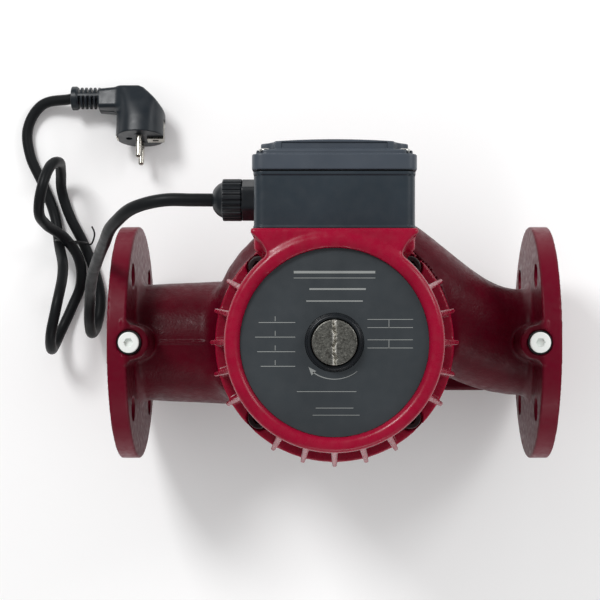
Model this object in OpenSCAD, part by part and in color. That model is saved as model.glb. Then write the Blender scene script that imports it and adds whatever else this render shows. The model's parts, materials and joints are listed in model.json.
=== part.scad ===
// Wet-rotor circulator pump with two pipe flanges in line, standing on its cast foot.
// +Z is the motor shaft, +X the flow from inlet to outlet, +Y the terminal box's side.
// Heights named *_z are measured up from the pipe axis, in millimetres.

/* [Pipework] */
// Distance between the two flange faces
face_to_face = 340; // [330:5:350]
// Outside diameter of each flange
flange_d = 185; // [180:1:190]
// Thickness of each flange
flange_t = 15; // [13:1:17]
// Bore of the inlet and the outlet
bore_d = 65; // [60:1:66]
// Diameter of each flange's bolt circle
bolt_circle = 145; // [140:1:148]
// Diameter of each flange bolt hole
bolt_hole_d = 18; // [14:1:19]
// Height of the pipe axis above the floor
axis_h = 97; // [96:1:100]

/* [Pump] */
// Radius of the drum that the motor bolts to
drum_r = 90; // [89:1:92]
// Outside diameter of the impeller
impeller_d = 118; // [110:1:120]
// Number of impeller vanes
vane_count = 6; // [5:1:7]

/* [Motor] */
// Outside radius of the motor housing's wall
motor_r = 68; // [68:1:69]
// Diameter of the rotor shaft
shaft_d = 16; // [16:0.5:16.5]
// Thickness of one cooling fin
fin_t = 3.6; // [2.5:0.1:4]
// Angle between neighbouring fins
fin_step = 15; // [14:1:15]

/* [Terminal box] */
// Width of the terminal box
box_w = 105; // [100:1:107]
// Width of its lid
lid_w = 107.5; // [105:0.5:108]
// Wall thickness of the box
box_wall = 3; // [2:0.5:3.5]

/* [Cord] */
// Diameter of the mains cord
cord_d = 9; // [8:0.5:9.5]

/* [Hidden] */
$fn = 64;

red = [0.52, 0.02, 0.13];
slate = [0.20, 0.23, 0.26];
black = [0.08, 0.09, 0.10];
steel = [0.72, 0.72, 0.70];
brass = [0.78, 0.62, 0.32];
copper = [0.72, 0.40, 0.22];

// Flanges and gauge tappings
flange_r = flange_d / 2;
flange_x = face_to_face / 2;
flange_in_x = flange_x - flange_t;
bore_r = bore_d / 2;
gauge_x = flange_in_x - 2;
gauge_seat_z = flange_r - 2.5;
gauge_thread_r = 6.5;

// Spiral channel: it starts at the tongue and sweeps clockwise, seen from the motor
tongue_angle = -35;
spiral_sweep = 273;
spiral_r0 = 66;
spiral_growth = 45;
outlet_r = 38;
wall_t = 8;
rim_z = 68;

// Impeller chamber
chamber_r = 62.5;
chamber_z = 20;
neck_z = 14;
plate_z = 62;
plate_r = 70;

// Foot
foot_x = 131;
foot_y = 41;
foot_t = 14;
foot_tap_x = 100;
foot_tap_r = 5;
foot_tap_depth = 20;

// Motor
motor_in_r = motor_r - 6;
base_top_z = 80;
front_z = 254;
ring_r = 70.5;
plate_disc_r = 60.5;
bolt_r = 5;
bolt_pcr = 80;
can_out_r = 36;
can_in_r = 35.3;
shaft_r = shaft_d / 2;
impeller_r = impeller_d / 2;

// Terminal box: it lies on the saddle, open towards +Y
saddle_y = 73;
saddle_w = 107;
box_z0 = 135;
box_z1 = 240;
box_y0 = 74;
box_rim_y = 111;
lid_y0 = 112;
lid_skirt_y = 122.3;
lid_top_y = 132.3;
box_mid_z = (box_z0 + box_z1) / 2;
box_len = box_z1 - box_z0;
screw_x = 45.5;
screw_z = 46;

// Cable gland, on the -X side of the box
gland_y = 97;
gland_z = box_mid_z;
gland_in_x = box_w / 2;
gland_nut_x = 63;
gland_tip_x = 83.5;
cord_r = cord_d / 2;

// The cord's centreline, from the gland to the plug
cord_route = [
    [-77, 97, 284.5], [-96, 97, 286], [-116, 97, 285], [-137, 93, 276], [-154, 84, 254],
    [-168, 72.5, 211], [-181.4, 61.2, 160], [-192.9, 49.3, 112], [-200.3, 34.8, 74], [-203.6, 18.1, 56],
    [-205, 8, 34], [-203.5, 17, 12], [-202, 38, 5.5], [-206, 58, 5], [-217, 86, 5],
    [-229, 110, 5], [-235, 130, 8], [-233, 145, 24], [-231, 151, 45], [-235, 145, 64],
    [-240, 127, 72], [-244, 108, 64], [-242, 99, 43], [-229, 88, 21.5], [-220, 72, 11],
    [-219, 52, 5], [-227, 30, 5], [-235, 11, 9], [-239, -3, 22], [-238, -4.5, 42],
    [-235.5, 7, 56.5], [-230.5, 28, 61], [-228.5, 60, 40], [-237, 86, 11], [-241, 107, 5],
    [-252, 137, 5], [-263, 162, 5], [-265, 184, 5], [-254, 203, 8], [-224, 208.7, 17.5]
];

// Plug: its face is tipped up a little from the floor
plug_x = -165;
plug_face_y = 172;
plug_z = 26;
plug_tilt = 13;
plug_r = 21;
plug_axis_z = -37.7;
pin_r = 2.4;
pin_len = 19;
pin_gap = 19;

// ---- Helper shapes ----

// Unit vector along v
function unit(v) = v / norm(v);

// Tangents of a polyline
function tangents(p) = [for (i = [0 : len(p) - 1])
    unit(p[min(i + 1, len(p) - 1)] - p[max(i - 1, 0)])];

// Side vectors carried along a polyline without twist
function carry(s, t) = unit(s - (s * t) * t);
function sides_along(t, s0) = [for (i = 0, s = carry(s0, t[0]); i < len(t);
    i = i + 1, s = i < len(t) ? carry(s, t[i]) : s) s];

// A round tube of varying radius swept along a polyline
module sweep(p, r, s0, n) {
    t = tangents(p);
    s = sides_along(t, s0);
    m = len(p);
    points = [for (i = [0 : m - 1], k = [0 : n - 1])
        p[i] + r[i] * (cos(360 * k / n) * s[i] + sin(360 * k / n) * cross(s[i], t[i]))];
    quads = [for (i = [0 : m - 2], k = [0 : n - 1])
        [i * n + k, (i + 1) * n + k, (i + 1) * n + (k + 1) % n, i * n + (k + 1) % n]];
    triangles = [for (q = quads) each [[q[2], q[1], q[0]], [q[3], q[2], q[0]]]];
    first_cap = [for (k = [n - 1 : -1 : 0]) k];
    last_cap = [for (k = [0 : n - 1]) (m - 1) * n + k];
    polyhedron(points, concat(triangles, [first_cap, last_cap]), convexity = 8);
}

// A tube of one radius
module cable(p, r, s0, n) { sweep(p, [for (q = p) r], s0, n); }

// Ring about Z with the given inner and outer radii
module ring(r_in, r_out, z0, z1) {
    translate([0, 0, z0]) difference() {
        cylinder(r = r_out, h = z1 - z0);
        translate([0, 0, -1]) cylinder(r = r_in, h = z1 - z0 + 2);
    }
}

// Round bar about Z
module bar(r, z0, z1) { translate([0, 0, z0]) cylinder(r = r, h = z1 - z0); }

// Round bar about X
module x_bar(r, x0, x1) { translate([x0, 0, 0]) rotate([0, 90, 0]) cylinder(r = r, h = x1 - x0); }

// Hexagonal bar about Z, by its width across flats
module hex_bar(af, z0, z1) { translate([0, 0, z0]) cylinder(r = af / sqrt(3), h = z1 - z0, $fn = 6); }

// Places children at the four motor bolts
module at_motor_bolts() {
    for (a = [45 : 90 : 315]) rotate(a) translate([bolt_pcr, 0, 0]) children();
}

// Everything above the pipe axis is placed from it
module on_axis() { translate([0, 0, axis_h]) children(); }

// Places a box part: local X stays, local Y becomes height along world Z, local Z runs along world Y
module box_frame() { translate([0, 0, axis_h + box_mid_z]) rotate([-90, 0, 0]) mirror([0, 1, 0]) children(); }

// Upright plate with rounded corners, in the box's frame
module box_plate(w, l, r, y0, y1) {
    translate([0, 0, y0]) linear_extrude(y1 - y0)
        union() {
            square([w - 2 * r, l], center = true);
            square([w, l - 2 * r], center = true);
            for (x = [-1, 1], y = [-1, 1]) translate([x * (w / 2 - r), y * (l / 2 - r)]) circle(r);
        }
}

// ---- Pump housing ----

// The spiral's outside grows from r0 to r0 + growth as it sweeps clockwise from the tongue
spiral_steps = 32;
spiral_points = [for (i = [0 : spiral_steps]) let (f = i / spiral_steps, a = tongue_angle - spiral_sweep * f,
    r = spiral_r0 + spiral_growth * pow(f, 0.62)) [r, a]];
spiral_exit = [46, 55, 32];
outlet_knee = [126, 3, 4];   // outside
outlet_turn = [122, 0, 0];   // inside, where the channel meets the bore

// The suction passage dips under the spiral and rises into the impeller's eye
inlet_knee = [-132, 0, 0];
dip_start = [-92, 0, -26];
dip_end = [0, 0, -28];
suction_r = 26;
knee_r = 34;

// A round bar from p to q
module strut(p, q, r) {
    v = q - p;
    translate(p) rotate([0, acos(v[2] / norm(v)), atan2(v[1], v[0])]) cylinder(r = r, h = norm(v));
}

// The spiral's block between two heights, and its outlet run, thinner by inset than the casting's outside
module spiral_solid(inset, z0, z1, knee) {
    translate([0, 0, z0]) linear_extrude(z1 - z0)
        polygon([for (p = spiral_points) (p[0] - inset) * [cos(p[1]), sin(p[1])]]);
    strut(spiral_exit, knee, outlet_r - inset);
    translate(knee) sphere(r = outlet_r - inset + 4);
}

// The dipping suction passage, thicker by extra than its water space
module suction_solid(extra) {
    strut(inlet_knee, dip_start, suction_r + extra);
    translate(dip_start) sphere(r = suction_r + extra + 2);
    strut(dip_start, dip_end, suction_r + extra);
    translate(dip_end) sphere(r = suction_r + extra + 3);
}

// The flange disc with its four bolt holes, from x0 outwards
module flange(side) {
    difference() {
        if (side > 0) x_bar(flange_r, flange_in_x, flange_x);
        else x_bar(flange_r, -flange_x, -flange_in_x);
        for (a = [45 : 90 : 315]) rotate([a, 0, 0]) translate([side * flange_in_x, bolt_circle / 2, 0])
            x_bar(bolt_hole_d / 2, -flange_t - 5, flange_t + 5);
    }
}

// The gauge boss that stands on a flange's inner side
module gauge_boss(side) {
    boss_r = 13;
    boss_x = flange_in_x - 3.5;
    mirror([side > 0 ? 0 : 1, 0, 0]) {
        translate([boss_x, 0, bore_r]) cylinder(r = boss_r, h = gauge_seat_z - bore_r + 1.5);
        translate([0, 0, bore_r]) linear_extrude(gauge_seat_z - bore_r + 1.5)
            polygon([[boss_x - 4, -12.2], [flange_in_x + 1, -16.5],
                [flange_in_x + 1, 16.5], [boss_x - 4, 12.2]]);
    }
}

module foot() {
    translate([-foot_x, -foot_y, 0]) cube([2 * foot_x, 2 * foot_y, foot_t]);
    translate([-foot_x, -8, 0]) cube([2 * foot_x, 16, axis_h - 36]);
    for (x = [-1, 1]) translate([x * foot_tap_x, 0, 0]) cylinder(r = 13, h = 32);
}

module pump_shell() {
    spiral_solid(0, 0, rim_z - 1, outlet_knee);
    suction_solid(wall_t + 1);
    translate([flange_in_x - 40, 0, 0]) rotate([0, 90, 0]) cylinder(r1 = 39.5, r2 = 42.5, h = 39);
    bar(drum_r, 5, rim_z);
    sphere(r = 49);
    translate([-flange_in_x, 0, 0]) rotate([0, 90, 0]) cylinder(r1 = 46, r2 = 49, h = flange_in_x);
    for (side = [-1, 1]) {
        flange(side);
        gauge_boss(side);
    }
    translate([0, 0, -axis_h]) foot();
}

// The water space: inlet, suction elbow, chamber, spiral and outlet
module pump_water_space() {
    x_bar(bore_r, -flange_x - 1, inlet_knee[0]);
    translate(inlet_knee) sphere(r = knee_r);
    suction_solid(0);
    bar(27, dip_end[2], neck_z + 1);
    x_bar(bore_r, outlet_turn[0], flange_x + 1);
    bar(34, neck_z, chamber_z + 1);
    bar(chamber_r, chamber_z, rim_z + 1);
    bar(plate_r, plate_z, rim_z + 1);
    difference() {
        spiral_solid(wall_t, 10, 60, outlet_turn);
        at_motor_bolts() bar(9, 48, rim_z + 1);
    }
}

module pump_housing() color(red) on_axis() difference() {
    pump_shell();
    pump_water_space();
    bar(drum_r + 12, rim_z, rim_z + 30);
    at_motor_bolts() bar(bolt_r, 50, rim_z + 1);
    for (x = [-gauge_x, gauge_x]) translate([x, 0, 0]) {
        bar(gauge_thread_r, 0, gauge_seat_z + 10);
        bar(9.5, gauge_seat_z, gauge_seat_z + 10);
    }
    for (x = [-1, 1])
        translate([x * foot_tap_x, 0, -axis_h - 1]) cylinder(r = foot_tap_r, h = foot_tap_depth + 1);
}

module gauge_plugs() color([0.93, 0.94, 0.91]) on_axis()
    for (x = [-gauge_x, gauge_x]) translate([x, 0, 0]) difference() {
        union() {
            bar(gauge_thread_r, gauge_seat_z - 18, gauge_seat_z + 2);
            bar(7.75, gauge_seat_z + 1.5, gauge_seat_z + 5);
        }
        hex_bar(6, gauge_seat_z - 2, gauge_seat_z + 6);
    }

module gauge_plug_seals() color(black) on_axis()
    for (x = [-gauge_x, gauge_x]) translate([x, 0, 0])
        ring(gauge_thread_r, 9, gauge_seat_z, gauge_seat_z + 1.5);

module neck_ring() color(brass) on_axis() ring(30.4, 34, neck_z, chamber_z);

module bearing_plate() color(steel) on_axis() difference() {
    union() {
        bar(plate_r, plate_z, rim_z);
        bar(56, 50, rim_z);
        bar(20, 50, 84);
    }
    difference() {
        bar(52, 54, rim_z + 1);
        bar(20, 53, rim_z + 2);
    }
    bar(14, 66, 85);
    bar(shaft_r + 1, 49, 85);
}

module front_bearing() color([0.25, 0.25, 0.27]) on_axis() ring(shaft_r + 0.05, 14, 66, 84);

o_ring_r = 72.5;

module housing_o_ring() color(black) on_axis() translate([0, 0, 69.5])
    rotate_extrude() translate([o_ring_r, 0]) circle(r = 1.4, $fn = 24);

// ---- Motor, inside ----

module rotor_can() color(steel) on_axis() {
    ring(can_in_r, plate_r, rim_z, 69.2);
    ring(can_in_r, can_out_r, rim_z, 236);
}

module rear_bearing_holder() color(steel) on_axis() difference() {
    union() {
        bar(can_in_r, 212, 236);
        bar(can_out_r, 236, 240);
        bar(13, 239, 243.9);
    }
    bar(14, 211, 232);
    bar(8.05, 231, 245);
}

module rear_bearing() color([0.25, 0.25, 0.27]) on_axis() ring(shaft_r + 0.05, 14, 213, 231);

module stator_core() color([0.42, 0.43, 0.45]) on_axis() ring(can_out_r + 0.1, motor_in_r, 106, 204);

module stator_windings() color(copper) on_axis() {
    for (z = [[84, 106], [204, 228]]) translate([0, 0, z[0]]) rotate_extrude()
        translate([38, 0]) square([20, z[1] - z[0]]);
}

module rotor_shaft() color(steel) on_axis() {
    bar(shaft_r, 32, 229);
    bar(6, 15, 33);
}

module rotor_core() color([0.42, 0.43, 0.45]) on_axis() ring(shaft_r, 34.3, 108, 202);

module rotor_end_rings() color([0.80, 0.80, 0.81]) on_axis() {
    ring(14, 33.5, 98, 108);
    ring(14, 33.5, 202, 210);
}

module rotor_sleeve() color(steel) on_axis() ring(34.3, 34.7, 98, 210);

module thrust_ring() color([0.85, 0.84, 0.80]) on_axis() ring(shaft_r, 13, 84.4, 90);

// One backward-curved vane, as the band between two shifted arcs
module vane() {
    steps = 7;
    function vane_point(f, shift) = let (r = 20 + (impeller_r - 20.5) * f, a = -75 * f + shift / r * 57.3)
        [r * cos(a), r * sin(a)];
    linear_extrude(16.4) polygon(concat(
        [for (i = [0 : steps]) vane_point(i / steps, -1.4)],
        [for (i = [steps : -1 : 0]) vane_point(i / steps, 1.4)]));
}

module impeller() color(brass) on_axis() difference() {
    union() {
        ring(27, impeller_r, 22, 25);
        ring(27, 30.1, neck_z + 0.5, 22.5);
        bar(impeller_r, 41, 44);
        bar(13, 28, 49);
        for (i = [0 : vane_count - 1]) rotate(i * 360 / vane_count) translate([0, 0, 24.8]) vane();
    }
    bar(6, 27, 33);
    bar(shaft_r, 32, 50);
}

module impeller_washer() color(steel) on_axis() ring(6, 11.5, 26, 28);

module impeller_nut() color(steel) on_axis() difference() {
    hex_bar(19, 17, 26);
    bar(6, 16, 27);
}

// ---- Motor housing ----

// Angles of the cooling fins: groups at both sides and below
fin_angles = [for (c = [0, 180, 270], k = [-2 : 2]) c + k * fin_step];

module fin() {
    rotate([90, 0, 0]) translate([0, 0, -fin_t / 2]) linear_extrude(fin_t)
        polygon([[motor_r - 2, base_top_z - 2], [drum_r - 1, base_top_z - 2], [drum_r - 1, 137],
                 [ring_r, 246], [motor_r - 2, 246]]);
}

// The bracket that carries the terminal box
module saddle() {
    neck_x = 42;
    neck_y = 50;
    steps = 6;
    half = saddle_w / 2;
    flare = [for (i = [0 : steps]) let (t = i / steps, u = 1 - t)
        [u * u * neck_x + 2 * u * t * (neck_x + 1) + t * t * half,
         u * u * neck_y + 2 * u * t * (saddle_y - 8) + t * t * (saddle_y - 3)]];
    translate([0, 0, 130]) linear_extrude(front_z - 130)
        polygon(concat(flare, [[half, saddle_y], [-half, saddle_y]],
            [for (i = [steps : -1 : 0]) [-flare[i][0], flare[i][1]]]));
}

module front_ring() {
    rotate_extrude() {
        translate([plate_disc_r, front_z - 12]) square([ring_r - plate_disc_r, 13]);
        translate([(plate_disc_r + ring_r) / 2, front_z + 1])
            circle(r = (ring_r - plate_disc_r) / 2, $fn = 32);
    }
}

module motor_housing() color(red) on_axis() difference() {
    union() {
        bar(drum_r, rim_z, base_top_z);
        bar(motor_r, base_top_z, front_z);
        front_ring();
        saddle();
        for (a = fin_angles) rotate(a) fin();
    }
    bar(motor_in_r, rim_z + 1.3, front_z - 7);
    bar(plate_r + 0.5, rim_z - 1, rim_z + 1.3);
    bar(plate_disc_r, front_z, front_z + 20);
    bar(19, front_z - 8, front_z + 1);
    translate([0, 0, rim_z]) rotate_extrude() translate([o_ring_r - 2.1, -1]) square([3.6, 4]);
    at_motor_bolts() {
        bar(bolt_r + 0.5, rim_z - 1, base_top_z + 1);
        bar(9.5, base_top_z - 4, base_top_z + 12);
    }
    // Way for the winding leads
    translate([0, 40, 216]) rotate([-90, 0, 0]) cylinder(r = 8, h = 60);
    for (x = [-1, 1], z = [-1, 1]) translate([x * 34, 61, box_mid_z + z * 40]) rotate([-90, 0, 0])
        cylinder(r = 2.1, h = 20);
}

module motor_bolts() color(steel) on_axis() at_motor_bolts() difference() {
    union() {
        bar(bolt_r, 52, base_top_z);
        bar(8, base_top_z - 4, base_top_z + 6);
    }
    hex_bar(8, base_top_z, base_top_z + 7);
}

module name_plate() color([0.23, 0.26, 0.27]) on_axis() ring(19, plate_disc_r - 0.2, front_z, front_z + 1);

module vent_bush() color(black) on_axis() difference() {
    union() {
        bar(18.8, 244, front_z + 1);
        bar(17.5, front_z, 257);
    }
    bar(15.2, 250, 258);
    bar(8.6, 243, 251);
}

module vent_seal() color([0.12, 0.12, 0.12]) on_axis() ring(8.1, 12.5, 250, 251.5);

module vent_plug() color([0.55, 0.55, 0.53]) on_axis() difference() {
    union() {
        bar(14.5, 251.5, 262.8);
        bar(8, 234, 252);
    }
    translate([-1.4, -15, 259.6]) cube([2.8, 30, 5]);
}

// ---- Terminal box ----

module box_gasket() color(black) box_frame() difference() {
    box_plate(92, 92, 6, saddle_y, box_y0);
    box_plate(84, 84, 4, saddle_y - 1, box_y0 + 1);
}

module box_base() color(slate) box_frame() difference() {
    union() {
        difference() {
            box_plate(box_w, box_len, 7, box_y0, box_rim_y);
            box_plate(box_w - 2 * box_wall, box_len - 2 * box_wall, 5, box_y0 + 3, box_rim_y + 1);
        }
        for (x = [-1, 1], y = [-1, 1]) translate([x * (screw_x - 0.5), y * (screw_z - 0.5), box_y0 + 1])
            cylinder(r = 5.5, h = box_rim_y - box_y0 - 1);
    }
    for (x = [-1, 1], y = [-1, 1]) {
        translate([x * screw_x, y * screw_z, 90]) cylinder(r = 2, h = 30);
        translate([x * 34, y * 40, box_y0 - 1]) cylinder(r = 2.4, h = 10);
    }
    translate([0, 216 - box_mid_z, box_y0 - 1]) cylinder(r = 8, h = 6);
    translate([-box_w / 2, 0, gland_y]) x_bar(10, -5, 8);
}

module box_screws() color(steel) box_frame() for (x = [-1, 1], y = [-1, 1]) translate([x * 34, y * 40, 0]) {
    bar(2, 63, box_y0 + 3);
    bar(4, box_y0 + 3, box_y0 + 6);
}

module lid_gasket() color(black) box_frame() difference() {
    box_plate(box_w - 2, box_len - 2, 6, box_rim_y, lid_y0);
    box_plate(box_w - 7, box_len - 7, 4, box_rim_y - 1, lid_y0 + 1);
    for (x = [-1, 1], y = [-1, 1])
        translate([x * screw_x, y * screw_z, box_rim_y - 1]) cylinder(r = 2.5, h = 3);
}

module box_lid() color([0.29, 0.31, 0.35]) box_frame() difference() {
    union() {
        box_plate(lid_w, box_len + 2.5, 7.5, lid_y0, lid_skirt_y);
        box_plate(lid_w - 6, box_len - 4, 8, lid_skirt_y - 1, 125.6);
        difference() {
            box_plate(96, 96, 10, 124, lid_top_y);
            for (x = [-1, 1], y = [-1, 1]) translate([x * 48, y * 48, 125.6]) cylinder(r = 9.5, h = 10);
        }
    }
    difference() {
        union() {
            box_plate(box_w - 7, box_len - 7, 5, lid_y0 - 1, 121);
            box_plate(88, 88, 8, 120, lid_top_y - 3);
        }
        for (x = [-1, 1], y = [-1, 1]) translate([x * 46, y * 46, lid_y0 - 2]) cylinder(r = 7, h = 30);
    }
    for (x = [-1, 1], y = [-1, 1]) translate([x * screw_x, y * screw_z, lid_y0 - 2]) {
        cylinder(r = 2.2, h = 30);
        translate([0, 0, 9]) cylinder(r = 4.2, h = 30);
    }
}

module lid_screws() color(steel) box_frame() for (x = [-1, 1], y = [-1, 1])
    translate([x * screw_x, y * screw_z, 0]) difference() {
        union() {
            bar(2, 92, 120);
            bar(3.9, 119, 122.5);
        }
        translate([-5, -0.6, 121.3]) cube([10, 1.2, 3]);
        translate([-0.6, -5, 121.3]) cube([1.2, 10, 3]);
    }

terminal_x = [-22, -11, 0, 11];

module terminal_block() color([0.88, 0.88, 0.84]) box_frame() difference() {
    translate([-28, -38, box_y0 + 3]) cube([45, 20, 16]);
    for (x = terminal_x) translate([x, -28, 0]) {
        bar(3, box_y0 + 8, box_y0 + 20);
        translate([0, 0, box_y0 + 7]) rotate([-90, 0, 0]) cylinder(r = 2.2, h = 20);
    }
}

module terminal_screws() color(brass) box_frame() for (x = terminal_x)
    translate([x, -28, 0]) bar(2.9, box_y0 + 9.5, box_y0 + 17);

module earth_screw() color(brass) box_frame() translate([-34, 12, 0]) difference() {
    bar(3.5, box_y0 + 3, box_y0 + 9);
    translate([-5, -0.6, box_y0 + 8]) cube([10, 1.2, 3]);
}

module capacitor() color([0.86, 0.86, 0.86]) box_frame() translate([30, 0, box_y0 + 17])
    rotate([90, 0, 0]) translate([0, 0, -30]) cylinder(r = 12, h = 60);

module capacitor_clip() color(black) box_frame() difference() {
    translate([16.5, -6, box_y0 + 3]) cube([27, 12, 16]);
    translate([30, 10, box_y0 + 17]) rotate([90, 0, 0]) cylinder(r = 12, h = 20);
}

// Wires inside the box, in the box's frame
wire_r = 1.4;
module wire(p, s0 = [0, 0, 1]) { box_frame() cable(p, wire_r, s0, 8); }

module wire_live() color([0.45, 0.26, 0.15])
    wire([[-44, 0, 97], [-38, -3, 97], [-28, -8, 93], [-23, -12, 84], [-22, -17.9, 81]]);

module wire_neutral() color([0.15, 0.35, 0.70])
    wire([[-44, 0, 100], [-36, 0, 101], [-20, -6, 98], [-12, -12, 86], [-11, -17.9, 81]]);

module wire_earth() color([0.45, 0.65, 0.15])
    wire([[-44, 0, 94], [-41, 1, 93], [-37, 6, 88], [-34, 12, 85], [-34, 12, 83]]);

module stator_leads() color([0.85, 0.85, 0.80]) {
    wire([[1, 28.5, 45], [1, 28.5, 79], [1, 18, 86], [0, -8, 86], [0, -17.9, 81]], [1, 0, 0]);
    wire([[5, 28.5, 45], [5, 28.5, 79], [7, 18, 85], [11, -8, 85], [11, -17.9, 81]], [1, 0, 0]);
}

// ---- Gland and cord ----

// Gland parts stand on +Z here, with 0 at the shaft's axis plane
module gland_frame() { translate([0, gland_y, axis_h + gland_z]) rotate([0, -90, 0]) children(); }

module gland_locknut() color(black) gland_frame() difference() {
    hex_bar(25, gland_in_x - box_wall - 5, gland_in_x - box_wall);
    bar(10, 0, 60);
}

module gland_body() color(black) gland_frame() difference() {
    union() {
        bar(10, gland_in_x - box_wall - 8, gland_in_x + 1);
        hex_bar(25.3, gland_in_x, gland_nut_x);
        bar(11, gland_nut_x - 1, 72);
    }
    bar(5.5, 0, 66);
    bar(8.5, 65, 73);
}

module gland_seal() color(black) gland_frame() ring(cord_r, 8.5, 65, 74);

module gland_nut() color(black) gland_frame() difference() {
    union() {
        bar(14.3, gland_nut_x, 76);
        translate([0, 0, 76]) cylinder(r1 = 12, r2 = 8, h = gland_tip_x - 76);
    }
    bar(11, gland_nut_x - 1, 75);
    bar(5.6, 70, 90);
}

module cord_sheath_end() color(black) gland_frame() bar(cord_r, 44.5, 77);

module power_cord() color(black) cable(cord_route, cord_r, [0, 0, 1], 12);

// The twist tie round the three strands where they lie side by side
module cord_tie() color(black) translate([-227, 86, 13.9]) rotate([90, 0, -20]) difference() {
    box_plate(37, 25.6, 11, -1.5, 1.5);
    box_plate(34.6, 23.2, 9.8, -2, 2);
}

// ---- Plug, in its own frame: +Z along the pins, +X away from the cord ----

module plug_frame() {
    translate([plug_x, plug_face_y, plug_z]) rotate([90 - plug_tilt, 0, 0]) children();
}

module plug_body() color([0.10, 0.12, 0.14]) plug_frame() difference() {
    union() {
        translate([0, 0, -20]) cylinder(r = plug_r, h = 20);
        hull() {
            translate([0, 0, -22]) cylinder(r = plug_r, h = 2.5, $fn = 32);
            translate([-20, -12, -46]) cube([22, 24, 2]);
        }
        hull() {
            translate([-20, -12, -46]) cube([2, 24, 20]);
            translate([-36, -9, -46]) cube([2, 18, 18]);
        }
        translate([-35, 0, plug_axis_z]) rotate([0, -90, 0]) cylinder(r1 = 10, r2 = 9.5, h = 24.5);
    }
    for (y = [-pin_gap / 2, pin_gap / 2]) translate([0, y, -2]) cylinder(r = pin_r, h = 3);
}

module plug_pins() color(steel) plug_frame() for (y = [-pin_gap / 2, pin_gap / 2]) translate([0, y, -2]) {
    cylinder(r = pin_r, h = pin_len + 1);
    translate([0, 0, pin_len + 1]) sphere(r = pin_r);
}

module plug_earth_clips() color(steel) plug_frame() for (x = [-1, 1])
    translate([x * (plug_r + 0.4) - 0.4, -5, -14]) cube([0.8, 10, 14]);

pump_housing();
gauge_plugs();
gauge_plug_seals();
neck_ring();
bearing_plate();
front_bearing();
housing_o_ring();
rotor_can();
rear_bearing_holder();
rear_bearing();
stator_core();
stator_windings();
rotor_shaft();
rotor_core();
rotor_end_rings();
rotor_sleeve();
thrust_ring();
impeller();
impeller_washer();
impeller_nut();
motor_housing();
motor_bolts();
name_plate();
vent_bush();
vent_seal();
vent_plug();
box_gasket();
box_base();
box_screws();
lid_gasket();
box_lid();
lid_screws();
terminal_block();
terminal_screws();
earth_screw();
capacitor();
capacitor_clip();
wire_live();
wire_neutral();
wire_earth();
stator_leads();
gland_locknut();
gland_body();
gland_seal();
gland_nut();
cord_sheath_end();
power_cord();
cord_tie();
plug_body();
plug_pins();
plug_earth_clips();
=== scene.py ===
import json
import math

import bpy
import numpy as np
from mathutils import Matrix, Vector


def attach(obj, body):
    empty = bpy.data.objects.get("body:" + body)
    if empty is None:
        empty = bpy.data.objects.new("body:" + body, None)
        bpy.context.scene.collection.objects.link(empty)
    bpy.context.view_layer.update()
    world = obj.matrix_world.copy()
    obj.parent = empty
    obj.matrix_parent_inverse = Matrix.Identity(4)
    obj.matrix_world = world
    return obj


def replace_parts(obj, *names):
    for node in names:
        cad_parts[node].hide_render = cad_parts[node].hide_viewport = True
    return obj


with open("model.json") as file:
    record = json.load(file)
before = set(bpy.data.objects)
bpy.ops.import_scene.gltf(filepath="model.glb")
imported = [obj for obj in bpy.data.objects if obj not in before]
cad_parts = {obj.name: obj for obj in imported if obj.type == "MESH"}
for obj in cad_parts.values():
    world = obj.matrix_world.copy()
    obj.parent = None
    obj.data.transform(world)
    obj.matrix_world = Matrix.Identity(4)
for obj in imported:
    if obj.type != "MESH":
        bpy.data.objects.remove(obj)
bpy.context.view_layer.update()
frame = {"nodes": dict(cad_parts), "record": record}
MM = 0.001
AXIS_H = 97.0  # height of the pipe axis above the foot, in millimetres
rng = np.random.default_rng(7)

# ---------------------------------------------------------------- camera and light

camera = bpy.data.objects.new("camera", bpy.data.cameras.new("camera"))
bpy.context.scene.collection.objects.link(camera)
camera.location = (0, 0, 1.327)
camera.data.lens = 91.8
camera.data.sensor_width = 36
camera.data.shift_x = -0.0575
camera.data.shift_y = 0.0708
bpy.context.scene.camera = camera


def area_light(name, place, target, size, power, colour=(1, 1, 1)):
    lamp = bpy.data.objects.new(name, bpy.data.lights.new(name, "AREA"))
    bpy.context.scene.collection.objects.link(lamp)
    lamp.location = place
    lamp.rotation_euler = (Vector(target) - Vector(place)).to_track_quat("-Z", "Y").to_euler()
    lamp.data.shape = "RECTANGLE"
    lamp.data.size, lamp.data.size_y = size
    lamp.data.energy = power
    lamp.data.color = colour


area_light("key", (-0.75, 0.95, 1.35), (0, 0, 0.18), (0.45, 0.45), 15)
area_light("fill", (1.15, 0.7, 1.0), (0, 0, 0.15), (0.5, 0.8), 7)
area_light("low", (0.2, -1.3, 0.75), (0, 0, 0.15), (1.1, 0.35), 4.5)
world = bpy.data.worlds.new("studio")
bpy.context.scene.world = world
world.use_nodes = True
backdrop = world.node_tree.nodes["Background"]
backdrop.inputs["Color"].default_value = (1, 1, 1, 1)
# reflections see a darker room than the one that lights the object, as between a studio's softboxes
rays = world.node_tree.nodes.new("ShaderNodeLightPath")
dim = world.node_tree.nodes.new("ShaderNodeMapRange")
dim.inputs["To Min"].default_value = 0.61
dim.inputs["To Max"].default_value = 0.10
world.node_tree.links.new(rays.outputs["Is Glossy Ray"], dim.inputs["Value"])
world.node_tree.links.new(dim.outputs["Result"], backdrop.inputs["Strength"])
bpy.context.scene.view_settings.view_transform = "Standard"

# ---------------------------------------------------------------- materials


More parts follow.
